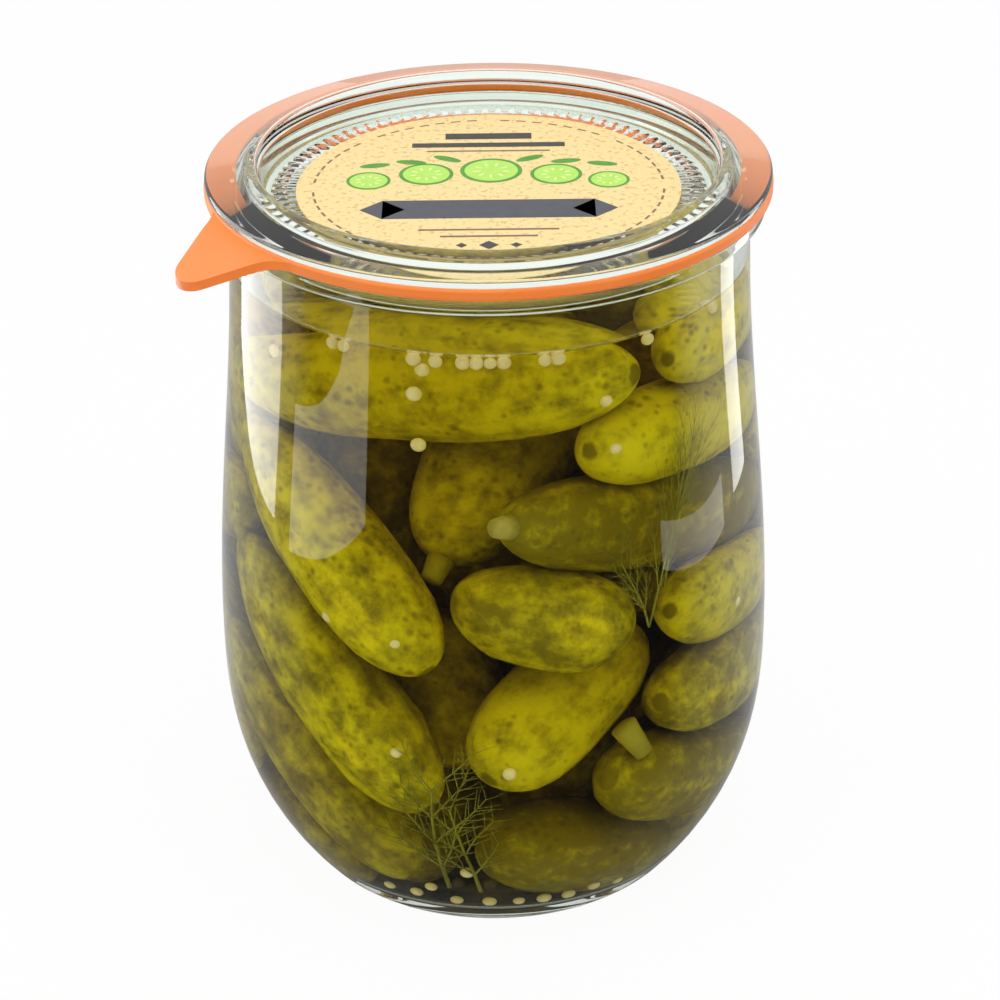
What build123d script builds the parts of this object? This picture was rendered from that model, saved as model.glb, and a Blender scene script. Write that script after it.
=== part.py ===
from build123d import *
import os
from math import asin, cos, pi, radians, sin

# A preserving jar of gherkins: a bellied glass jar, the brine in it, a flat rubber sealing ring with a
# pull tab, a recessed glass lid and the round paper label on the lid. Millimetres and degrees. +Z is up,
# the origin is on the jar's axis in the plane that the foot stands on, and the front faces -Y.

# Jar, outside
JAR_HEIGHT = 144.0  # from the foot to the sealing rim
FOOT_R = 40.2  # where the heel meets the standing plane
BELLY_R = 55.5  # the widest radius
BELLY_Z = 48.0  # the height of the widest point
NECK_R = 49.9
RIM_BEAD = 2.9  # how far the bead round the mouth stands out from the neck
RIM_HEIGHT = 3.4
HEEL_POWER = 2.5  # how late the heel turns in under the belly
STANDING_LAND = 4.5  # the flat band of the foot that touches the table
PUNT_DEPTH = 1.2  # the hollow under the foot

# Jar, inside
WALL = 3.0
BASE_THICKNESS = 4.6
FLOOR_CORNER_R = 6.0
HEEL_THICKNESS = 2.2  # how much narrower the floor is than the foot
FILL_GAP = 14.0  # from the sealing rim down to the brine

# Sealing ring
RING_CLEARANCE = 0.1  # between the ring's hole and the mouth's edge
RING_WIDTH = 7.0
RING_THICKNESS = 2.4
TAB_LENGTH = 13.2  # from the ring's edge to the tab's tip, seen from above
TAB_TIP_R = 5.3
TAB_TAPER = 32.0  # each side's angle from the tab's middle line
TAB_THICKNESS = 1.7
TAB_FLARE_R = 11.6  # the hollow curve where the tab leaves the ring
TAB_BITE = 0.3  # how far the flares start inside the ring's edge
TAB_DROOP = 20.5  # how steeply the tab hangs
TAB_BEND_R = 12.0  # the bend between the flat ring and the hanging tab
TAB_BEND_INSET = 1.0  # how far inside the ring's edge the bend starts
TAB_DIRECTION = 214.0  # turned from +X about +Z

# Lid
LID_INSET = 0.2  # how far the lid's edge stays inside the ring's
LID_RIM_THICKNESS = 3.5  # at the crown round the recess
LID_EDGE_THICKNESS = 1.4  # at the outer edge, to which the rim's top slopes down
CROWN_LAND = 1.4  # the flat top of the crown
LID_WALL = 3.0  # between the plug's side and the recessed floor
RECESS_DEPTH = 6.9  # from the lid's crown to its recessed floor
RECESS_FLARE = 1.4  # how much wider the recess is at the crown
LID_FLOOR_THICKNESS = 4.4
PLUG_CLEARANCE = 1.2  # between the lid's plug and the mouth
PLUG_TAPER = 0.7  # how much narrower the plug is at its lower edge

# Label
LABEL_MARGIN = 6.0  # bare glass between the label and the recess's wall
LABEL_THICKNESS = 0.2

# Roundings of the pressed glass and the moulded rubber
FOOT_ROUND = 1.2
EDGE_ROUND = 0.9
NECK_ROUND = 1.4
PLUG_ROUND = 1.6
CROWN_ROUND = 3.0
RUBBER_ROUND = 0.7

neck_z = JAR_HEIGHT - RIM_HEIGHT
fill_z = JAR_HEIGHT - FILL_GAP
ring_top = JAR_HEIGHT + RING_THICKNESS
edge_z = ring_top + LID_EDGE_THICKNESS
crown_z = ring_top + LID_RIM_THICKNESS
recess_z = crown_z - RECESS_DEPTH
plug_z = recess_z - LID_FLOOR_THICKNESS

floor_r = FOOT_R - HEEL_THICKNESS
mouth_r = NECK_R - WALL
rim_r = NECK_R + RIM_BEAD
ring_inner_r = mouth_r + RING_CLEARANCE
ring_outer_r = ring_inner_r + RING_WIDTH
lid_r = ring_outer_r - LID_INSET
plug_r = mouth_r - PLUG_CLEARANCE
recess_floor_r = plug_r - LID_WALL
recess_top_r = recess_floor_r + RECESS_FLARE
crown_r = recess_top_r + CROWN_LAND
label_r = recess_floor_r - LABEL_MARGIN


def wall_line(foot_r, foot_z, belly_r, neck_r, steps=8):
    """One glass surface in profile: a heel that swells to the belly, then a slow draw-in to the neck."""
    swell = belly_r - foot_r
    below = belly_r - neck_r
    heel = [
        (belly_r - swell * (1 - step / steps) ** HEEL_POWER, foot_z + (BELLY_Z - foot_z) * step / steps)
        for step in range(steps)
    ]
    shoulder = [
        (belly_r - below * (1 - cos(pi * step / steps)) / 2, BELLY_Z + (neck_z - BELLY_Z) * step / steps)
        for step in range(steps + 1)
    ]
    foot_slope = swell * HEEL_POWER / (BELLY_Z - foot_z)
    return Spline(*heel, *shoulder, tangents=[(foot_slope, 1), (0, 1)])


def rounded(face, corners):
    """The face with each corner, given as (radius from the axis, height, rounding), rounded off."""
    for r, z, rounding in corners:
        corner = face.vertices().sort_by_distance((r, z, 0))[0]
        face = fillet(corner, rounding)
    return face


def turned(face):
    """The solid that a profile sweeps out round the jar's axis."""
    return revolve(Plane.XZ * face, Axis.Z)


def make_cavity():
    """The hollow of the jar, open upwards past the rim."""
    wall = wall_line(floor_r, BASE_THICKNESS, BELLY_R - WALL, mouth_r)
    top_z = JAR_HEIGHT + RIM_HEIGHT
    mouth = Polyline((mouth_r, neck_z), (mouth_r, top_z), (0, top_z), (0, BASE_THICKNESS))
    floor = Line((0, BASE_THICKNESS), (floor_r, BASE_THICKNESS))
    face = make_face([wall, mouth, floor])
    return turned(rounded(face, [(floor_r, BASE_THICKNESS, FLOOR_CORNER_R)]))


def make_jar(cavity):
    """The glass jar: a hollow foot, the bellied wall and a beaded rim with a flat sealing face."""
    land_r = FOOT_R - STANDING_LAND
    wall = wall_line(FOOT_R, 0, BELLY_R, NECK_R)
    rim = Polyline((NECK_R, neck_z), (rim_r, neck_z), (rim_r, JAR_HEIGHT), (0, JAR_HEIGHT), (0, PUNT_DEPTH))
    punt = TangentArc((0, PUNT_DEPTH), (land_r, 0), tangent=(1, 0))
    foot = Line((land_r, 0), (FOOT_R, 0))
    face = rounded(
        make_face([wall, rim, punt, foot]),
        [
            (FOOT_R, 0, FOOT_ROUND),
            (NECK_R, neck_z, NECK_ROUND),
            (rim_r, neck_z, EDGE_ROUND),
            (rim_r, JAR_HEIGHT, EDGE_ROUND),
        ],
    )
    return turned(face) - cavity


def make_brine(cavity):
    """The brine, from the jar's floor and wall up to its level surface."""
    reach = BELLY_R + WALL
    below_level = Pos(0, 0, fill_z) * Cylinder(reach, fill_z, align=(Align.CENTER, Align.CENTER, Align.MAX))
    return cavity & below_level


def make_tab_sheet(reach):
    """The rubber that the tab is cut from: a wide sheet that runs flat, bends and then hangs straight."""
    faces = []
    for side in (1, -1):
        offset = side * TAB_THICKNESS / 2
        flat = Line((0, offset), (ring_outer_r - TAB_BEND_INSET, offset))
        bend = JernArc(flat @ 1, (1, 0), TAB_BEND_R + offset, -TAB_DROOP)
        hanging = Line(bend @ 1, bend @ 1 + reach * (bend % 1))
        faces.append([flat, bend, hanging])
    start = Line(faces[0][0] @ 0, faces[1][0] @ 0)
    end = Line(faces[0][2] @ 1, faces[1][2] @ 1)
    return extrude(Plane.XZ * make_face([*faces[0], *faces[1], start, end]), reach, both=True)


def make_tab():
    """The pull tab: a tapered tongue with a round tip and hollow flares at its root, bent down."""
    side = radians(TAB_TAPER)
    root_r = ring_outer_r - TAB_BITE
    reach = ring_outer_r + TAB_LENGTH
    tip_x = reach - TAB_TIP_R
    side_offset = tip_x * sin(side) + TAB_TIP_R
    flare_angle = asin((side_offset + TAB_FLARE_R) / (root_r + TAB_FLARE_R)) - side
    flare = (root_r + TAB_FLARE_R) * Vector(cos(flare_angle), sin(flare_angle))
    root = root_r * Vector(cos(flare_angle), sin(flare_angle))
    flare_end = flare - TAB_FLARE_R * Vector(sin(side), cos(side))
    middle_angle = (flare_angle + pi / 2 - side) / 2
    flare_middle = flare - TAB_FLARE_R * Vector(cos(middle_angle), sin(middle_angle))
    touch = Vector(tip_x, 0) + TAB_TIP_R * Vector(sin(side), cos(side))
    half = [ThreePointArc(root, flare_middle, flare_end), Line(flare_end, touch)]
    edges = [*half, *[mirror(edge, Plane.XZ) for edge in half]]
    tip = ThreePointArc(touch, (reach, 0), (touch.X, -touch.Y))
    chord = Line((root.X, root.Y), (root.X, -root.Y))
    outline = extrude(make_face([*edges, tip, chord]), reach, both=True)
    blade = outline & make_tab_sheet(reach)
    return Rot(0, 0, TAB_DIRECTION) * Pos(0, 0, JAR_HEIGHT + RING_THICKNESS / 2) * blade


def make_ring():
    """The flat rubber sealing ring with its pull tab."""
    face = make_face(
        Polyline(
            (ring_inner_r, JAR_HEIGHT),
            (ring_outer_r, JAR_HEIGHT),
            (ring_outer_r, ring_top),
            (ring_inner_r, ring_top),
            close=True,
        )
    )
    face = fillet(face.vertices(), RUBBER_ROUND)
    return turned(face) + make_tab()


def make_lid():
    """The glass lid: a rim that slopes down from its crown, a plug into the mouth and a recess on top."""
    face = make_face(
        Polyline(
            (0, plug_z),
            (plug_r - PLUG_TAPER, plug_z),
            (plug_r, ring_top),
            (lid_r, ring_top),
            (lid_r, edge_z),
            (crown_r, crown_z),
            (recess_top_r, crown_z),
            (recess_floor_r, recess_z),
            (0, recess_z),
            close=True,
        )
    )
    corners = [
        (plug_r - PLUG_TAPER, plug_z, PLUG_ROUND),
        (lid_r, ring_top, EDGE_ROUND / 2),
        (lid_r, edge_z, EDGE_ROUND),
        (crown_r, crown_z, CROWN_ROUND),
        (recess_top_r, crown_z, EDGE_ROUND),
        (recess_floor_r, recess_z, EDGE_ROUND),
    ]
    return turned(rounded(face, corners))


def make_label():
    """The round paper label stuck on the lid's recessed floor."""
    base = (Align.CENTER, Align.CENTER, Align.MIN)
    return Pos(0, 0, recess_z) * Cylinder(label_r, LABEL_THICKNESS, align=base)


cavity = make_cavity()
pieces = {
    "glass_jar": make_jar(cavity),
    "brine": make_brine(cavity),
    "sealing_ring": make_ring(),
    "glass_lid": make_lid(),
    "lid_label": make_label(),
}

os.makedirs("parts", exist_ok=True)
for name, piece in pieces.items():
    export_step(piece, f"parts/{name}.step")
    print(name, "volume", round(piece.volume), "mm3")
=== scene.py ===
from math import atan2, cos, pi, radians, sin, tau
from random import Random

import bmesh
import bpy
import numpy as np
from mathutils import Matrix, Vector, noise


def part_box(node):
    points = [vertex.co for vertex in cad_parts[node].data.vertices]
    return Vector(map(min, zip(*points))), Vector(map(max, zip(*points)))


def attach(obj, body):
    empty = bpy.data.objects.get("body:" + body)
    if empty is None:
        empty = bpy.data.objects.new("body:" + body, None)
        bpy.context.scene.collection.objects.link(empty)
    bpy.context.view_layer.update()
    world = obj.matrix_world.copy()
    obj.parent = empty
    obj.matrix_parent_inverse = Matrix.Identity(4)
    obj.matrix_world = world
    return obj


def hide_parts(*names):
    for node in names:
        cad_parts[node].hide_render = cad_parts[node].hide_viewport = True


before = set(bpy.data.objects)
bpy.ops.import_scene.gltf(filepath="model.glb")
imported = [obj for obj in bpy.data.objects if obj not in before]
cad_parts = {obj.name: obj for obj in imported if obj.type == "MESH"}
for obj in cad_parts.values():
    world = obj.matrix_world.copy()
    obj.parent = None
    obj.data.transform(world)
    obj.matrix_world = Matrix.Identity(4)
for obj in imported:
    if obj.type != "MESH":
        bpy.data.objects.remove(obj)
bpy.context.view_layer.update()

# The jar
# A bellied preserving jar of pale green pressed glass. Its wall is 3 mm thick, the foot is heavier and
# hollow underneath, and the mouth ends in a bead whose top is ground flat for the sealing ring.

MM = 0.001
jar_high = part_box("glass_jar")[1] / MM
brine_low, brine_high = (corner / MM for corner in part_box("brine"))
BELLY_R = jar_high.x
RIM_Z = jar_high.z
WALL = 3.0
BELLY_Z = 48.0
HEEL_CURVE = 2.5  # how fast the heel draws in towards the foot
FOOT_R = 40.2
FOOT_ROUND = 1.2
STANDING_LAND = 4.5
PUNT_DEPTH = 1.2
NECK_R = 49.9
NECK_Z = RIM_Z - 3.4
NECK_ROUND = 1.4
RIM_R = NECK_R + 2.9
MOUTH_R = NECK_R - WALL
GLASS_ROUND = 0.9
FLOOR_Z = brine_low.z
FLOOR_R = 38.0
FLOOR_ROUND = 4.0
SEAT_GAP = 0.03  # the film of air between the glass and the rubber that lies on it
JAR_GLASS = (0.90, 0.97, 0.92, 1)
CLEAR_GLASS = (0.97, 0.99, 0.97, 1)


def wall_points(foot_r, foot_z, belly_r, neck_r, steps=12):
    """One glass surface from heel to neck, as (radius, height, rounding) with no rounding."""
    heel = [
        (
            belly_r - (belly_r - foot_r) * (1 - step / steps) ** HEEL_CURVE,
            foot_z + (BELLY_Z - foot_z) * step / steps,
            0,
        )
        for step in range(1, steps)
    ]
    shoulder = [
        (
            belly_r - (belly_r - neck_r) * (1 - cos(pi * step / steps)) / 2,
            BELLY_Z + (NECK_Z - BELLY_Z) * step / steps,
            0,
        )
        for step in range(steps)
    ]
    return heel + shoulder


def inner_radius(height):
    """The radius of the jar's inner wall at that height."""
    if height < BELLY_Z:
        share = (height - FLOOR_Z) / (BELLY_Z - FLOOR_Z)
        return BELLY_R - WALL - (BELLY_R - WALL - FLOOR_R) * max(0, 1 - share) ** HEEL_CURVE
    share = min(1, (height - BELLY_Z) / (NECK_Z - BELLY_Z))
    return BELLY_R - WALL - (BELLY_R - NECK_R) * (1 - cos(pi * share)) / 2


def outline(corners, steps=6, support=1.35):
    """The corners with each rounded one drawn as an arc, and a point close before and after it."""
    points = []
    for place, (r, z, rounding) in enumerate(corners):
        corner = Vector((r, z))
        if not rounding:
            points.append(corner)
            continue
        before, after = (
            (Vector(corners[(place + way) % len(corners)][:2]) - corner).normalized() * rounding
            for way in (-1, 1)
        )
        points.append(corner + before * support)
        for step in range(steps + 1):
            t = step / steps
            points.append(corner + before * (1 - t) ** 2 + after * t**2)
        points.append(corner + after * support)
    return points


def turned(points, steps=144, closed=False):
    """A surface spun round the jar's axis from points given as (radius, height) in millimetres."""
    mesh = bmesh.new()
    line = [mesh.verts.new((r * MM, 0, z * MM)) for r, z in points]
    edges = [mesh.edges.new(pair) for pair in zip(line, line[1:])]
    if closed:
        edges.append(mesh.edges.new((line[-1], line[0])))
    bmesh.ops.spin(
        mesh, geom=line + edges, cent=(0, 0, 0), axis=(0, 0, 1), angle=tau, steps=steps, use_merge=True
    )
    bmesh.ops.remove_doubles(mesh, verts=mesh.verts, dist=0.002 * MM)
    bmesh.ops.recalc_face_normals(mesh, faces=mesh.faces)
    return mesh


def shown(name, mesh, material):
    """A new object from that mesh, which is used up."""
    data = bpy.data.meshes.new(name)
    mesh.to_mesh(data)
    mesh.free()
    data.shade_smooth()
    data.materials.append(material)
    thing = bpy.data.objects.new(name, data)
    bpy.context.scene.collection.objects.link(thing)
    return thing


def new_material(name):
    """An empty node material, and its node tree."""
    made = bpy.data.materials.new(name)
    made.use_nodes = True
    made.node_tree.nodes.clear()
    return made, made.node_tree


def add(tree, kind, inputs=None, **settings):
    """A node with its settings, and its inputs set to values or linked from other nodes' outputs."""
    node = tree.nodes.new("ShaderNode" + kind)
    for key, value in settings.items():
        setattr(node, key, value)
    for key, value in (inputs or {}).items():
        if isinstance(value, bpy.types.NodeSocket):
            tree.links.new(value, node.inputs[key])
        else:
            node.inputs[key].default_value = value
    return node


def see_through(tree, surface, clear):
    """The surface, which lets light for shadows and for what stands behind it straight through."""
    path = add(tree, "LightPath")
    tint = add(tree, "BsdfTransparent", {"Color": clear})
    lit = add(
        tree, "MixShader", {0: path.outputs["Is Diffuse Ray"], 1: surface.outputs[0], 2: tint.outputs[0]}
    )
    return add(tree, "MixShader", {0: path.outputs["Is Shadow Ray"], 1: lit.outputs[0], 2: tint.outputs[0]})


def pressed_glass(name, ripple):
    """Pale green glass with the faint ripple that a press mould leaves."""
    made, tree = new_material(name)
    place = add(tree, "TexCoord")
    waves = add(tree, "TexNoise", {"Vector": place.outputs["Object"], "Scale": 45.0, "Detail": 1.0})
    bump = add(tree, "Bump", {"Strength": 1.0, "Distance": ripple * MM, "Height": waves.outputs["Fac"]})
    surface = add(
        tree,
        "BsdfPrincipled",
        {
            "Base Color": JAR_GLASS,
            "Roughness": 0.0,
            "IOR": 1.5,
            "Transmission Weight": 1.0,
            "Normal": bump.outputs["Normal"],
        },
    )
    whole = see_through(tree, surface, CLEAR_GLASS)
    add(tree, "OutputMaterial", {"Surface": whole.outputs[0]})
    return made


jar_outside = [
    (0, PUNT_DEPTH, 0),
    (FOOT_R - STANDING_LAND - 16, PUNT_DEPTH * 0.7, 0),
    (FOOT_R - STANDING_LAND - 8, PUNT_DEPTH * 0.38, 0),
    (FOOT_R - STANDING_LAND, 0, 0),
    (FOOT_R, 0, FOOT_ROUND),
    *wall_points(FOOT_R, 0, BELLY_R, NECK_R),
    (NECK_R, NECK_Z, NECK_ROUND),
    (RIM_R, NECK_Z, GLASS_ROUND),
    (RIM_R, RIM_Z - SEAT_GAP, GLASS_ROUND),
]
jar_inside = [
    (0, FLOOR_Z, 0),
    (FLOOR_R - 9, FLOOR_Z, 0),
    (FLOOR_R, FLOOR_Z, FLOOR_ROUND),
    *wall_points(FLOOR_R, FLOOR_Z, BELLY_R - WALL, MOUTH_R)[2:],
    (MOUTH_R, NECK_Z, 0),
    (MOUTH_R, RIM_Z - SEAT_GAP, 0.3),
]
jar = shown("jar", turned(outline(jar_outside + jar_inside[::-1])), pressed_glass("jar_glass", 0.05))
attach(jar, "root")
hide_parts("glass_jar")

# The brine
# Clear yellow vinegar brine, filled to 14 mm below the rim. It wets the glass, so its skin lies just
# inside the wall, and it climbs the wall a little at the surface.

BRINE_REACH = 0.3
FILL_Z = brine_high.z
MENISCUS = 1.1
BRINE_SKIN = (1.0, 0.98, 0.88, 1)
BRINE_DEPTH_COLOUR = (0.93, 0.885, 0.0, 1)
BRINE_DENSITY = 105.0

brine_points = [
    (0, FLOOR_Z - BRINE_REACH, 0),
    (FLOOR_R - 9, FLOOR_Z - BRINE_REACH, 0),
    (FLOOR_R + BRINE_REACH, FLOOR_Z - BRINE_REACH, FLOOR_ROUND),
    *[
        (r + BRINE_REACH, z, 0)
        for r, z, _ in wall_points(FLOOR_R, FLOOR_Z, BELLY_R - WALL, MOUTH_R)[2:]
        if z < FILL_Z - 3
    ],
    (inner_radius(FILL_Z) + BRINE_REACH, FILL_Z + MENISCUS, 0.15),
    (inner_radius(FILL_Z) - 0.1, FILL_Z + MENISCUS, 0),
    (inner_radius(FILL_Z) - 0.5, FILL_Z + MENISCUS * 0.45, 0),
    (inner_radius(FILL_Z) - 1.2, FILL_Z + MENISCUS * 0.12, 0),
    (inner_radius(FILL_Z) - 2.4, FILL_Z, 0),
    (inner_radius(FILL_Z) - 3.2, FILL_Z, 0),
    (0, FILL_Z, 0),
]
brine_matter, tree = new_material("brine")
place = add(tree, "TexCoord")
ripples = add(tree, "TexNoise", {"Vector": place.outputs["Object"], "Scale": 30.0, "Detail": 1.0})
bump = add(tree, "Bump", {"Strength": 1.0, "Distance": 0.02 * MM, "Height": ripples.outputs["Fac"]})
surface = add(
    tree,
    "BsdfPrincipled",
    {
        "Base Color": BRINE_SKIN,
        "Roughness": 0.0,
        "IOR": 1.33,
        "Transmission Weight": 1.0,
        "Normal": bump.outputs["Normal"],
    },
)
depth = add(tree, "VolumeAbsorption", {"Color": BRINE_DEPTH_COLOUR, "Density": BRINE_DENSITY})
whole = see_through(tree, surface, (1, 1, 1, 1))
add(tree, "OutputMaterial", {"Surface": whole.outputs[0], "Volume": depth.outputs[0]})
brine = shown("brine_fill", turned(outline(brine_points), steps=120), brine_matter)
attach(brine, "root")
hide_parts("brine")

# The gherkins
# Small whole pickled gherkins packed by hand, some upright and some across. The skin is yellow green to
# dark olive with soft darker spots and small warts; one end has a scar of the blossom, and some keep a
# bit of stalk at the other. The lower gherkins are also painted darker, as painted shade from the light
# above.

GHERKIN_ROUND = 44
GHERKIN_LONG = 34
WART_SPACING = 4.2
WART_HEIGHT = 0.4
# Blossom end, stalk end, thickness, how dark the skin is and how much stalk is left, for the ones
# against the front of the glass. How dark is partly the skin's own tone and partly painted shade, which
# makes the lower ones darker.
FRONT_GHERKINS = [
    ((27, -34, 122), (-47, -17, 103), 21, 0.1, 0),
    ((17, -38, 107), (47, 3, 104), 19, -0.15, 0),
    ((9, -15, 118), (-10, -40, 83), 23, 0.25, 4.5),
    ((46, 0, 76), (-3, -43, 92), 20, 0.85, 3),
    ((-1, -43, 77), (-46, -14, 100), 21, 0.2, 0),
    ((-15, -43, 32), (-48, -13, 76), 21, 0.35, 3),
    ((-15, -37, 16), (-50, -8, 55), 20, 0.5, 3),
    ((27, -38, 62), (-3, -37, 78), 19.5, 0.5, 0),
    ((-3, -42, 51), (33, -31, 70), 21, 0.0, 0),
    ((4, -34, 36), (-17, -29, 62), 20, 0.45, 0),
    ((28, -36, 70), (51, 2, 61), 18, 0.1, 0),
    ((25, -39, 53), (50, 2, 41), 19, 0.5, 0),
    ((21, -39, 39), (47, 2, 24), 19, 0.8, 0),
    ((6, -37, 32), (39, -17, 18), 20, 1.0, 2),
    ((30, -35, 121), (47, 4, 118), 17, -0.1, 0),
]
LOOSE_STALK = ((23.5, -41.5, 49), (27.5, -40.5, 42))
STALK_TONE = -5.0
SCAR_TONE = 1.3


def girth(along):
    """How thick a gherkin is at a place from -1, the blossom end, to 1, the stalk end."""
    return (1 - abs(along) ** 2.7) ** 0.5 * (1.02 - 0.06 * along) if abs(along) < 1 else 0.0


def settle(spines, loose, rounds=220):
    """The spines, moved apart until hardly any gherkin lies in another, in the wall or above the brine."""
    shares = np.array([-0.85, -0.57, -0.28, 0.0, 0.28, 0.57, 0.85])
    low, high = (np.array([spine[end] for spine in spines]) for end in (0, 1))
    lengths = np.linalg.norm(high - low, axis=1)
    sizes = np.array([[spine[2] / 2 * girth(share) for share in shares] for spine in spines]).ravel()
    owner = np.repeat(np.arange(len(spines)), len(shares))
    reach = np.where(owner[:, None] != owner, sizes[:, None] + sizes, 0)
    give = np.array(loose)[owner]
    give = give[:, None] / (give[:, None] + give)
    wall_at = np.vectorize(inner_radius)
    for _ in range(rounds):
        middle, half = (low + high) / 2, (high - low) / 2
        half *= (lengths / 2 / np.linalg.norm(half, axis=1))[:, None]
        beads = (middle[:, None] + half[:, None] * shares[:, None]).reshape(-1, 3)
        gaps = beads[:, None] - beads
        apart = np.linalg.norm(gaps, axis=2) + 1e-6
        push = (gaps * (np.maximum(reach - apart, 0) * give / apart)[..., None]).sum(1)
        flat = np.linalg.norm(beads[:, :2], axis=1) + 1e-6
        past = np.maximum(flat + sizes - wall_at(beads[:, 2]), 0)
        push[:, :2] -= beads[:, :2] * (past / flat)[:, None]
        push[:, 2] += np.maximum(FLOOR_Z + sizes - beads[:, 2], 0)
        push[:, 2] -= np.maximum(beads[:, 2] + sizes - FILL_Z + 0.4, 0)
        push = push.reshape(len(spines), len(shares), 3) * 0.35
        low = middle - half + (push * (1 - shares)[:, None] / 2).sum(1)
        high = middle + half + (push * (1 + shares)[:, None] / 2).sum(1)
    return [(Vector(a), Vector(b), *spine[2:]) for a, b, spine in zip(low, high, spines)]


def template(make, **sizes):
    """A mesh of one shape, to be added to a heap again and again."""
    shape = bmesh.new()
    make(shape, **sizes)
    data = bpy.data.meshes.new("template")
    shape.to_mesh(data)
    shape.free()
    return data


def added(heap, shape):
    """The vertices that one more copy of the shape brings into the heap."""
    before = len(heap.verts)
    heap.from_mesh(shape)
    heap.verts.ensure_lookup_table()
    return heap.verts[before:]


def grow_stalk(base, tip, start):
    """A bit of stalk from base to tip, in millimetres."""
    turn = (tip - base).to_track_quat("Z", "Y").to_matrix()
    for vert in added(gherkins, stalk_shape):
        local = Vector((vert.co.x, vert.co.y, vert.co.z * (tip - base).length))
        grain.extend(local + start)
        skin_tone.append(STALK_TONE)
        vert.co = (turn @ local + (base + tip) / 2) * MM


chance = Random(11)
spines = [(Vector(low), Vector(high), *rest) for low, high, *rest in FRONT_GHERKINS]
loose = [0.05] * len(spines)
for tier, height in enumerate((19, 41, 63, 85, 107)):
    for stand in range(5):
        azimuth = radians(-2 + 46 * stand + 9 * (tier % 2) + chance.uniform(-6, 6))
        centre = Vector((cos(azimuth), sin(azimuth), 0)) * (inner_radius(height) - 12)
        centre.z = height + chance.uniform(-3, 3)
        across = Vector((-sin(azimuth), cos(azimuth), 0))
        slope = radians(chance.choice((-58, -35, -15, 12, 30, 62)))
        half = (across * cos(slope) + Vector((0, 0, 1)) * sin(slope)) * chance.uniform(22, 29)
        thick = chance.uniform(17, 22)
        # The skin's own tone at random, plus painted shade that darkens the lower tiers
        tone = chance.uniform(-0.1, 0.6) + (107 - height) * 0.004
        spines.append((centre - half, centre + half, thick, tone, chance.choice((0, 0, 3))))
        loose.append(1.0)
for layer, height in enumerate((34, 92)):
    for stand in range(4):
        azimuth = radians(45 + 90 * stand + 40 * layer)
        centre = Vector((cos(azimuth) * 15, sin(azimuth) * 15, height))
        half = Vector((chance.uniform(-6, 6), chance.uniform(-6, 6), 27))
        spines.append((centre - half, centre + half, 20, 0.7, 0))
        loose.append(1.0)
spines = settle(spines, loose)

ball_shape = template(
    bmesh.ops.create_uvsphere, u_segments=GHERKIN_ROUND, v_segments=GHERKIN_LONG, radius=1.0
)
stalk_shape = template(
    bmesh.ops.create_cone, cap_ends=True, segments=14, radius1=2.7, radius2=1.9, depth=1.0
)
gherkins = bmesh.new()
grain = []
skin_tone = []
for low, high, thick, tone, stalk in spines:
    half_length = (high - low).length / 2
    turn = (high - low).to_track_quat("Z", "Y").to_matrix()
    middle = (low + high) / 2
    start = Vector((chance.uniform(-90, 90), chance.uniform(-90, 90), chance.uniform(-90, 90)))
    bow = chance.uniform(-0.07, 0.07) * half_length
    facets = chance.uniform(0, tau)
    for vert in added(gherkins, ball_shape):
        along = vert.co.z
        around = Vector((vert.co.x, vert.co.y, 0))
        side = around.normalized()
        size = thick / 2 * girth(along) * (1 + 0.03 * cos(3 * atan2(side.y, side.x) + facets))
        local = side * size + Vector((0, 0, along * half_length))
        nearest = noise.voronoi((local + start) / WART_SPACING)[0][0]
        wart = max(0.0, 1 - nearest / 0.42) ** 2 * WART_HEIGHT * min(1.0, (1 - abs(along)) * 5)
        swell = noise.noise((local + start) / 13) * 0.55
        local += side * (wart + swell * (1 - along**4))
        local.x += bow * (1 - along**2)
        grain.extend(local + start)
        skin_tone.append(tone + SCAR_TONE * (along < -0.99))
        vert.co = (turn @ local + middle) * MM
    if stalk:
        way = (high - low).normalized()
        grow_stalk(high - way * 1.5, high + way * stalk, start)
grow_stalk(Vector(LOOSE_STALK[0]), Vector(LOOSE_STALK[1]), Vector((5, 5, 5)))
bpy.data.meshes.remove(ball_shape)
bpy.data.meshes.remove(stalk_shape)

GHERKIN_PALE = (0.66, 0.53, 0.005, 1)
GHERKIN_OLIVE = (0.20, 0.145, 0.006, 1)
GHERKIN_SPECK = (0.11, 0.075, 0.006, 1)
STALK_COLOUR = (0.36, 0.29, 0.05, 1)
IN_BRINE = 1.09  # the skin's refraction next to the brine's, which is why a sunk gherkin hardly shines
skin, tree = new_material("gherkin_skin")
grain_place = add(tree, "Attribute", attribute_name="grain").outputs["Vector"]
# The tone per vertex holds the skin's own tone and painted shade that darkens the lower gherkins
tone = add(tree, "Attribute", attribute_name="skin_tone").outputs["Fac"]
clouds = add(tree, "TexNoise", {"Vector": grain_place, "Scale": 0.20, "Detail": 6.0, "Roughness": 0.66})
drawn_out = add(tree, "Mapping", {"Vector": grain_place, "Scale": (1.0, 1.0, 0.14)})
streaks = add(tree, "TexNoise", {"Vector": drawn_out.outputs["Vector"], "Scale": 0.30, "Detail": 1.0})
clouded = add(tree, "Math", {0: clouds.outputs["Fac"], 1: 2.6, 2: -1.35}, operation="MULTIPLY_ADD")
streaked = add(
    tree, "Math", {0: streaks.outputs["Fac"], 1: 0.9, 2: clouded.outputs[0]}, operation="MULTIPLY_ADD"
)
darkness = add(tree, "Math", {0: tone, 1: 0.8, 2: streaked.outputs[0]}, operation="MULTIPLY_ADD")
shade = add(
    tree,
    "MapRange",
    {"Value": darkness.outputs[0], "From Min": 0.0, "From Max": 1.25},
    interpolation_type="SMOOTHSTEP",
)
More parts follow.
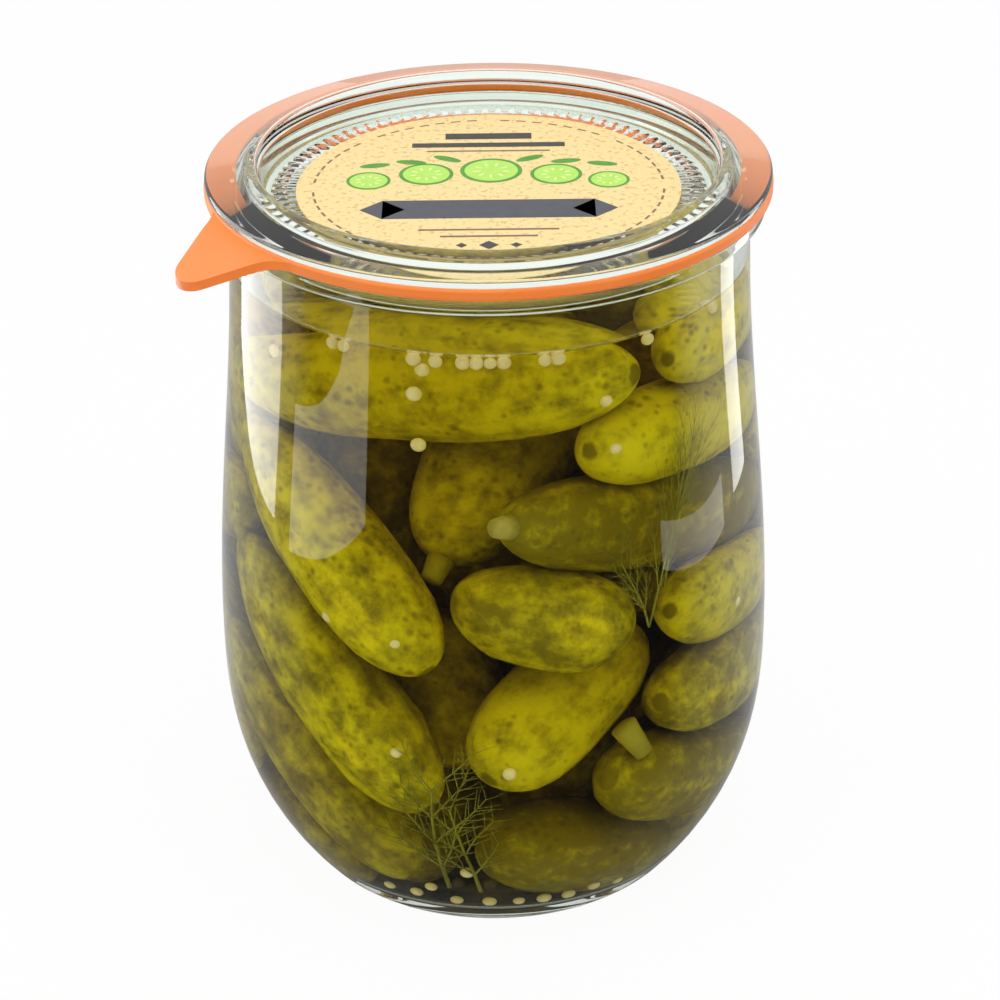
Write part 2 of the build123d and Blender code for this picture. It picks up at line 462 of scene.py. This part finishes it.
base = add(
    tree,
    "Mix",
    {"Factor": shade.outputs["Result"], "A": GHERKIN_PALE, "B": GHERKIN_OLIVE},
    data_type="RGBA",
)
spots = add(tree, "TexVoronoi", {"Vector": grain_place, "Scale": 0.42, "Randomness": 1.0})
patches = add(tree, "TexNoise", {"Vector": grain_place, "Scale": 0.13, "Detail": 2.0})
spot_size = add(
    tree,
    "MapRange",
    {"Value": patches.outputs["Fac"], "From Min": 0.40, "From Max": 0.66, "To Min": 0.0, "To Max": 0.34},
)
spot_depth = add(
    tree, "Math", {0: spot_size.outputs["Result"], 1: spots.outputs["Distance"]}, operation="SUBTRACT"
)
spot = add(
    tree,
    "MapRange",
    {"Value": spot_depth.outputs[0], "From Min": -0.20, "From Max": 0.22, "To Max": 0.62},
    interpolation_type="SMOOTHSTEP",
)
spotted = add(
    tree,
    "Mix",
    {"Factor": spot.outputs["Result"], "A": base.outputs["Result"], "B": GHERKIN_SPECK},
    data_type="RGBA",
)
is_stalk = add(tree, "Math", {0: tone, 1: STALK_TONE / 2}, operation="LESS_THAN")
coloured = add(
    tree,
    "Mix",
    {"Factor": is_stalk.outputs[0], "A": spotted.outputs["Result"], "B": STALK_COLOUR},
    data_type="RGBA",
)
pores = add(tree, "TexVoronoi", {"Vector": grain_place, "Scale": 0.9})
bump = add(tree, "Bump", {"Strength": 0.5, "Distance": 0.25 * MM, "Height": pores.outputs["Distance"]})
surface = add(
    tree,
    "BsdfPrincipled",
    {
        "Base Color": coloured.outputs["Result"],
        "Roughness": 0.35,
        "IOR": IN_BRINE,
        "Normal": bump.outputs["Normal"],
    },
)
add(tree, "OutputMaterial", {"Surface": surface.outputs[0]})
gherkin_heap = shown("gherkins", gherkins, skin)
gherkin_heap.data.attributes.new("grain", "FLOAT_VECTOR", "POINT").data.foreach_set("vector", grain)
gherkin_heap.data.attributes.new("skin_tone", "FLOAT", "POINT").data.foreach_set("value", skin_tone)
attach(gherkin_heap, "root")

# The mustard seeds
# Whole cream mustard seeds of about 2.5 mm. Some float in a row at the surface, some cling between the
# gherkins and the glass, and the rest have sunk to the floor.

SEED_R = 1.3
# Azimuth in degrees and height, for the ones against the front of the glass
FLOATING = [
    -127, -124, -107, -102, -96, -93, -90, -87, -78, -75, -53, -31, -8, 20, 52, 55, 88, 91, 94, 131, 150,
    153, -172,
]
CLINGING = [
    (-105, 127), (-107, 122), (-106, 112), (-64, 119), (-62, 109), (-146, 122), (-127, 73), (-111, 71),
    (-111, 47), (-87, 44), (-27, 65), (-97, 18), (-107, 12), (-120, 9), (-92, 8), (-84, 8), (-77, 8),
    (-70, 8), (-63, 9), (-55, 8), (-101, 8), (-112, 9), (20, 60), (75, 90), (130, 50), (165, 80), (95, 30),
    (40, 12), (120, 11), (170, 12), (60, 8), (90, 8), (-20, 8), (10, 8), (-150, 9), (-160, 8),
]
seeds = bmesh.new()
for azimuth, height in [(turn, FILL_Z - 1.1) for turn in FLOATING] + CLINGING:
    size = SEED_R * chance.uniform(0.86, 1.12)
    reach = inner_radius(height) - size - 0.15
    turn = radians(azimuth)
    spot = Vector((cos(turn) * reach, sin(turn) * reach, max(height, FLOOR_Z + size)))
    squash = Matrix.Diagonal((1.0, chance.uniform(0.9, 1.0), chance.uniform(0.88, 0.98), 1.0))
    bmesh.ops.create_icosphere(
        seeds,
        subdivisions=3,
        radius=size * MM,
        matrix=Matrix.Translation(spot * MM) @ Matrix.Rotation(chance.uniform(0, tau), 4, "X") @ squash,
    )
SEED_CREAM = (0.86, 0.74, 0.42, 1)
SEED_TAN = (0.68, 0.50, 0.20, 1)
seed_coat, tree = new_material("mustard_seed")
place = add(tree, "TexCoord")
blotches = add(tree, "TexNoise", {"Vector": place.outputs["Object"], "Scale": 420.0, "Detail": 2.0})
tint = add(
    tree, "Mix", {"Factor": blotches.outputs["Fac"], "A": SEED_CREAM, "B": SEED_TAN}, data_type="RGBA"
)
bump = add(tree, "Bump", {"Strength": 0.3, "Distance": 0.05 * MM, "Height": blotches.outputs["Fac"]})
surface = add(
    tree,
    "BsdfPrincipled",
    {
        "Base Color": tint.outputs["Result"],
        "Roughness": 0.45,
        "IOR": IN_BRINE,
        "Normal": bump.outputs["Normal"],
    },
)
add(tree, "OutputMaterial", {"Surface": surface.outputs[0]})
mustard = shown("mustard_seeds", seeds, seed_coat)
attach(mustard, "root")

# The dill
# A few sprigs of dill, soaked soft and olive, that lie between the gherkins and the glass: a flower head
# with its bare rays at the bottom and thin fronds higher up.

# Root, direction of growth, length, thickness and how far the side stalks stand off
SPRIGS = [
    ((-9, -43, 13), (-0.1, -0.05, 1.0), 27, 1.1, 0.75),
    ((-3, -43, 12), (-0.15, -0.05, 1.0), 24, 0.9, 0.75),
    ((27, -40, 71), (-0.2, -0.1, 1.0), 16, 0.55, 0.45),
    ((27, -40, 71), (0.35, 0.1, 1.0), 30, 0.55, 0.35),
    ((30, -38, 78), (0.25, 0.1, 1.0), 26, 0.5, 0.35),
    ((-40, 24, 70), (0.1, 0.1, -1.0), 30, 0.8, 0.6),
    ((28, 38, 90), (-0.2, 0.1, -1.0), 32, 0.8, 0.6),
    ((44, 12, 52), (0.1, 0.1, 1.0), 26, 0.7, 0.6),
]
TWIG_SIDES = 5
OUTWARD = 0.6  # how far a sprig lies off the glass


def twig(mesh, root, tip, thick, thin):
    """One straight tapered bit of stalk."""
    way = tip - root
    bmesh.ops.create_cone(
        mesh,
        cap_ends=True,
        segments=TWIG_SIDES,
        radius1=thick / 2 * MM,
        radius2=thin / 2 * MM,
        depth=way.length * MM,
        matrix=Matrix.Translation((root + tip) / 2 * MM) @ way.to_track_quat("Z", "Y").to_matrix().to_4x4(),
    )


def on_glass(spot):
    """The spot, moved in or out until it lies against the wall."""
    flat = Vector((spot.x, spot.y, 0)).normalized() * (inner_radius(spot.z) - OUTWARD)
    return flat + Vector((0, 0, spot.z))


def jitter(most):
    """A small random vector."""
    return Vector([chance.uniform(-most, most) for _ in range(3)])


def sprig(mesh, root, way, length, thick, spread, splits):
    """A stalk of four bits that bends a little at each, with side stalks that branch again."""
    for step in range(4):
        tip = on_glass(root + way * length / 4)
        twig(mesh, root, tip, thick, thick * 0.85)
        if splits:
            outward = Vector((tip.x, tip.y, 0)).normalized()
            for side in (-1, 1):
                branch = (way + way.cross(outward) * side * spread + jitter(0.12)).normalized()
                sprig(mesh, tip, branch, length * 0.45, thick * 0.6, spread, splits - 1)
        way = (way + jitter(0.15)).normalized()
        root = tip
        thick *= 0.85


herb = bmesh.new()
for root, way, length, thick, spread in SPRIGS:
    alone = bmesh.new()
    sprig(alone, on_glass(Vector(root)), Vector(way).normalized(), length, thick, spread, 2)
    grown = bpy.data.meshes.new("sprig")
    alone.to_mesh(grown)
    alone.free()
    herb.from_mesh(grown)
    bpy.data.meshes.remove(grown)
DILL_DARK = (0.10, 0.085, 0.008, 1)
DILL_PALE = (0.33, 0.30, 0.035, 1)
dill_leaf, tree = new_material("dill")
place = add(tree, "TexCoord")
change = add(tree, "TexNoise", {"Vector": place.outputs["Object"], "Scale": 160.0})
tint = add(
    tree, "Mix", {"Factor": change.outputs["Fac"], "A": DILL_DARK, "B": DILL_PALE}, data_type="RGBA"
)
surface = add(
    tree,
    "BsdfPrincipled",
    {"Base Color": tint.outputs["Result"], "Roughness": 0.6, "IOR": IN_BRINE},
)
add(tree, "OutputMaterial", {"Surface": surface.outputs[0]})
dill = shown("dill_sprigs", herb, dill_leaf)
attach(dill, "root")

# The sealing ring
# A flat ring of moulded orange rubber between the rim and the lid, with a pull tab that droops at the
# side. It is the modelled ring itself, with a fine matt grain.

RUBBER = (0.90, 0.185, 0.012, 1)
RUBBER_WORN = (0.94, 0.25, 0.03, 1)
rubber, tree = new_material("ring_rubber")
place = add(tree, "TexCoord")
bloom = add(tree, "TexNoise", {"Vector": place.outputs["Object"], "Scale": 60.0, "Detail": 4.0})
grit = add(tree, "TexNoise", {"Vector": place.outputs["Object"], "Scale": 2600.0, "Detail": 2.0})
tint = add(tree, "Mix", {"Factor": bloom.outputs["Fac"], "A": RUBBER, "B": RUBBER_WORN}, data_type="RGBA")
bump = add(tree, "Bump", {"Strength": 0.35, "Distance": 0.05 * MM, "Height": grit.outputs["Fac"]})
surface = add(
    tree,
    "BsdfPrincipled",
    {"Base Color": tint.outputs["Result"], "Roughness": 0.5, "Normal": bump.outputs["Normal"]},
)
add(tree, "OutputMaterial", {"Surface": surface.outputs[0]})
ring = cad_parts["sealing_ring"]
ring.data.materials.clear()
ring.data.materials.append(rubber)

# The lid
# A pressed glass lid. Its rim lies on the ring and slopes down from a crown, a plug drops into the mouth,
# and the recess on top has a circle of small raised ticks pressed into its floor.

lid_low, lid_high = (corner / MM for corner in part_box("glass_lid"))
label_low, label_high = (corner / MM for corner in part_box("lid_label"))
LID_R = lid_high.x
CROWN_Z = lid_high.z
RING_TOP = CROWN_Z - 3.5
EDGE_Z = RING_TOP + 1.4
PLUG_Z = lid_low.z
PLUG_R = MOUTH_R - 1.2
PLUG_TAPER = 0.7
PLUG_ROUND = 1.6
CORNER_ROUND = 0.4
RECESS_Z = label_low.z
RECESS_R = PLUG_R - 3.0
RECESS_TOP_R = RECESS_R + 1.4
CROWN_R = RECESS_TOP_R + 1.4
TICKS_FROM = 38.3
TICKS_TO = 40.5
TICK_HEIGHT = 0.45
LID_STEPS = 180
lid_points = [
    (0, PLUG_Z, 0),
    (PLUG_R - PLUG_TAPER, PLUG_Z, PLUG_ROUND),
    (PLUG_R, RING_TOP + SEAT_GAP, CORNER_ROUND),
    (LID_R, RING_TOP + SEAT_GAP, CORNER_ROUND),
    (LID_R, EDGE_Z, 0.6),
    (CROWN_R, CROWN_Z, 0.4),
    (RECESS_TOP_R, CROWN_Z, 0.6),
    (RECESS_R, RECESS_Z, GLASS_ROUND),
    (TICKS_TO, RECESS_Z, 0),
    (TICKS_FROM, RECESS_Z, 0),
    (0, RECESS_Z, 0),
]
lid_mesh = turned(outline(lid_points), steps=LID_STEPS)
ticks = []
for face in lid_mesh.faces:
    middle = face.calc_center_median() / MM
    turn = int(atan2(middle.y, middle.x) / tau * LID_STEPS + LID_STEPS)
    on_floor = abs(middle.z - RECESS_Z) < 0.01 and TICKS_FROM < Vector(middle[:2]).length < TICKS_TO
    if on_floor and turn % 2:
        ticks.append(face)
bmesh.ops.inset_individual(lid_mesh, faces=ticks, thickness=0.2 * MM, depth=TICK_HEIGHT * MM)
lid = shown("lid", lid_mesh, pressed_glass("lid_glass", 0.04))
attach(lid, "root")
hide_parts("glass_lid")

# The label
# A round of brown speckled paper stuck in the recess. It is printed with a dashed ring, a row of cut
# cucumber rounds with leaves, a dark slate ribbon and plain bars, and carries no words.

LABEL_R = label_high.x
LABEL_TOP = label_high.z
GLUED_IN = 0.05  # how far the paper's back reaches into the glass
INK_DEPTH = 0.02
INK_HEIGHT = 0.03
label_points = [
    (0, RECESS_Z - GLUED_IN, 0),
    (LABEL_R, RECESS_Z - GLUED_IN, 0),
    (LABEL_R, LABEL_TOP, 0.08),
    (0, LABEL_TOP, 0),
]
KRAFT = (0.87, 0.67, 0.31, 1)
KRAFT_FIBRE = (0.58, 0.37, 0.13, 1)
paper, tree = new_material("label_paper")
place = add(tree, "TexCoord")
fibres = add(tree, "TexNoise", {"Vector": place.outputs["Object"], "Scale": 900.0, "Detail": 3.0})
flecks = add(
    tree, "MapRange", {"Value": fibres.outputs["Fac"], "From Min": 0.54, "From Max": 0.68, "To Max": 0.7}
)
cloudy = add(tree, "TexNoise", {"Vector": place.outputs["Object"], "Scale": 70.0, "Detail": 2.0})
tint = add(
    tree, "Mix", {"Factor": flecks.outputs["Result"], "A": KRAFT, "B": KRAFT_FIBRE}, data_type="RGBA"
)
bump = add(tree, "Bump", {"Strength": 0.3, "Distance": 0.03 * MM, "Height": cloudy.outputs["Fac"]})
surface = add(
    tree,
    "BsdfPrincipled",
    {"Base Color": tint.outputs["Result"], "Roughness": 0.55, "Normal": bump.outputs["Normal"]},
)
add(tree, "OutputMaterial", {"Surface": surface.outputs[0]})
label = shown("label", turned(outline(label_points)), paper)
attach(label, "root")
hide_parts("lid_label")


def patch(mesh, x, y, wide, deep, turn=0.0, sides=4, layer=0):
    """A flat printed shape of that width and depth: a bar with 4 sides, or a round with many."""
    low = LABEL_TOP - INK_DEPTH
    high = LABEL_TOP + INK_HEIGHT + 0.015 * layer
    square = sides == 4
    radius = 0.5**0.5 if square else 0.5
    place = Matrix.Translation((x * MM, y * MM, (low + high) / 2 * MM))
    spread = Matrix.Diagonal((wide * MM, deep * MM, (high - low) * MM, 1))
    quarter = Matrix.Rotation(tau / 8 if square else 0, 4, "Z")
    bmesh.ops.create_cone(
        mesh,
        cap_ends=True,
        segments=sides,
        radius1=radius,
        radius2=radius,
        depth=1.0,
        matrix=place @ Matrix.Rotation(turn, 4, "Z") @ spread @ quarter,
    )


def printed(name, mesh, ink, faded):
    """The printed shapes of one ink, which is a little faded in places."""
    made, tree = new_material(name)
    place = add(tree, "TexCoord")
    wear = add(tree, "TexNoise", {"Vector": place.outputs["Object"], "Scale": 500.0, "Detail": 4.0})
    tint = add(tree, "Mix", {"Factor": wear.outputs["Fac"], "A": ink, "B": faded}, data_type="RGBA")
    surface = add(tree, "BsdfPrincipled", {"Base Color": tint.outputs["Result"], "Roughness": 0.5})
    add(tree, "OutputMaterial", {"Surface": surface.outputs[0]})
    piece = shown(name, mesh, made)
    piece.data.shade_flat()
    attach(piece, "root")


DASHES = 64
DASH_RING = 33.4
ROUNDS = [(-23, 3, 8.5), (-12, 6, 10.5), (0.5, 7.5, 12), (13, 5.5, 10), (23, 2.5, 8)]
dark_ink = bmesh.new()
brown_ink = bmesh.new()
slate_ink = bmesh.new()
rind_ink = bmesh.new()
flesh_ink = bmesh.new()
seed_ink = bmesh.new()
for dash in range(DASHES):
    if dash % 8:
        turn = tau * dash / DASHES
        patch(brown_ink, cos(turn) * DASH_RING, sin(turn) * DASH_RING, 0.45, 1.9, turn)
patch(dark_ink, 0, 25, 17, 3.0)
patch(dark_ink, 0, 20.5, 30, 2.2)
patch(brown_ink, 0, 17.4, 24, 0.6)
for height, wide in ((-20.5, 26), (-23.5, 18)):
    patch(brown_ink, 0, height, wide, 0.7)
patch(dark_ink, 0, -27.5, 2.6, 2.6, tau / 8)
patch(dark_ink, -5, -27.5, 1.5, 1.5, tau / 8)
patch(dark_ink, 5, -27.5, 1.5, 1.5, tau / 8)
patch(slate_ink, 0, -11, 40, 8.5)
for side in (-1, 1):
    patch(slate_ink, side * 20, -11, 6.01, 6.01, tau / 8)
    for leaf in range(3):
        patch(rind_ink, side * (8 + 7 * leaf), 13.5 - 1.5 * leaf, 6, 2.2, side * (0.5 - leaf * 0.35), 16)
for x, y, wide in ROUNDS:
    patch(rind_ink, x, y, wide, wide, 0, 36)
    patch(flesh_ink, x, y, wide * 0.86, wide * 0.86, 0, 36, 1)
    for seed in range(9):
        turn = tau * seed / 9 + x
        reach = wide * 0.24
        patch(seed_ink, x + cos(turn) * reach, y + sin(turn) * reach, wide * 0.13, 0.55, turn, 10, 2)
printed("print_dark", dark_ink, (0.012, 0.012, 0.012, 1), (0.04, 0.035, 0.03, 1))
printed("print_brown", brown_ink, (0.10, 0.06, 0.03, 1), (0.28, 0.17, 0.08, 1))
printed("print_slate", slate_ink, (0.028, 0.035, 0.05, 1), (0.07, 0.07, 0.085, 1))
printed("print_rind", rind_ink, (0.03, 0.20, 0.01, 1), (0.10, 0.36, 0.02, 1))
printed("print_flesh", flesh_ink, (0.36, 0.68, 0.06, 1), (0.52, 0.80, 0.16, 1))
printed("print_seed", seed_ink, (0.80, 0.88, 0.42, 1), (0.70, 0.80, 0.30, 1))

# The studio
# A white table and backdrop, soft panels left and right that show as pale bands in the glass, a large
# soft light overhead, and the camera looking down at the front.

TABLE_SIZE = 2.5
TABLE_WHITE = 0.95  # how much of the table's look is plain white; the rest keeps the jar's shadow
FRONT_MIRRORED = 0.03  # how bright the table is in the glass, in front of the jar and behind it
BACK_MIRRORED = 0.65
ROOM_LIGHT = 0.35
table_mesh = bmesh.new()
bmesh.ops.create_grid(table_mesh, x_segments=1, y_segments=1, size=TABLE_SIZE)
table_top, tree = new_material("table_top")
path = add(tree, "LightPath")
place = add(tree, "TexCoord")
apart = add(tree, "SeparateXYZ", {"Vector": place.outputs["Object"]})
behind = add(
    tree,
    "MapRange",
    {
        "Value": apart.outputs["Y"],
        "From Min": -0.06,
        "From Max": 0.05,
        "To Min": FRONT_MIRRORED,
        "To Max": BACK_MIRRORED,
    },
)
matt = add(tree, "BsdfDiffuse", {"Color": (0.9, 0.9, 0.9, 1)})
white = add(tree, "Emission", {"Color": (1, 1, 1, 1), "Strength": 1.0})
mirrored = add(tree, "Emission", {"Color": (1, 1, 1, 1), "Strength": behind.outputs["Result"]})
seen = add(tree, "MixShader", {0: TABLE_WHITE, 1: matt.outputs[0], 2: white.outputs[0]})
in_gloss = add(tree, "Math", {0: path.outputs["Glossy Depth"], 1: 0.5}, operation="GREATER_THAN")
in_light = add(tree, "Math", {0: path.outputs["Diffuse Depth"], 1: 0.5}, operation="GREATER_THAN")
looked_at = add(tree, "MixShader", {0: in_gloss.outputs[0], 1: seen.outputs[0], 2: mirrored.outputs[0]})
whole = add(tree, "MixShader", {0: in_light.outputs[0], 1: looked_at.outputs[0], 2: matt.outputs[0]})
add(tree, "OutputMaterial", {"Surface": whole.outputs[0]})
table = shown("table", table_mesh, table_top)

room = bpy.data.worlds.new("room")
bpy.context.scene.world = room
room.use_nodes = True
tree = room.node_tree
tree.nodes.clear()
path = add(tree, "LightPath")
in_light = add(tree, "Math", {0: path.outputs["Diffuse Depth"], 1: 0.5}, operation="GREATER_THAN")
white = add(tree, "Background", {"Color": (1, 1, 1, 1), "Strength": 1.0})
soft = add(tree, "Background", {"Color": (1, 1, 1, 1), "Strength": ROOM_LIGHT})
whole = add(tree, "MixShader", {0: in_light.outputs[0], 1: white.outputs[0], 2: soft.outputs[0]})
add(tree, "OutputWorld", {"Surface": whole.outputs[0]})


def soft_panel(name, spot, aim, width, height, brightness):
    """A soft light of that size in metres, whose face is as bright as a white card times brightness."""
    lamp = bpy.data.lights.new(name, "AREA")
    lamp.shape = "RECTANGLE"
    lamp.size = width
    lamp.size_y = height
    lamp.energy = brightness * pi * width * height
    holder = bpy.data.objects.new(name, lamp)
    bpy.context.scene.collection.objects.link(holder)
    spot, aim = Vector(spot), Vector(aim)
    turn = (aim - spot).to_track_quat("-Z", "Y").to_matrix().to_4x4()
    holder.matrix_world = Matrix.Translation(spot) @ turn
    holder.visible_camera = False
    holder.visible_transmission = False
    return holder


left_panel = soft_panel("left_panel", (-0.19, 0.075, 0.20), (0, 0.075, 0.20), 0.15, 0.35, 4.0)
left_card = soft_panel("left_card", (-0.19, -0.10, 0.037), (0, -0.10, 0.037), 0.14, 0.034, 2.0)
right_panel = soft_panel("right_panel", (0.185, 0.085, 0.156), (0, 0.0, 0.156), 0.045, 0.288, 3.2)
right_card = soft_panel("right_card", (0.19, -0.03, 0.022), (0, -0.03, 0.022), 0.12, 0.015, 1.5)
for reflected in (left_panel, left_card, right_panel, right_card):
    reflected.visible_diffuse = False
soft_panel("overhead", (0.0, -0.1, 1.1), (0, 0, 0.1), 1.5, 1.5, 1.7)
soft_panel("front_left", (-0.9, -0.8, 0.7), (0, 0, 0.07), 0.6, 0.6, 1.5)
soft_panel("front_right", (0.9, -0.8, 0.7), (0, 0, 0.07), 0.6, 0.6, 1.5)

EYE = (0.0015, -0.5155, 0.3616)
LOOKING_DOWN = 29.1
ROLL = -0.011
view = bpy.data.cameras.new("view")
view.lens = 105.2
view.sensor_width = 36.0
camera = bpy.data.objects.new("view", view)
bpy.context.scene.collection.objects.link(camera)
aimed = Matrix.Rotation(radians(90 - LOOKING_DOWN), 4, "X") @ Matrix.Rotation(ROLL, 4, "Z")
camera.matrix_world = Matrix.Translation(EYE) @ aimed
bpy.context.scene.camera = camera
bpy.context.scene.view_settings.view_transform = "Standard"
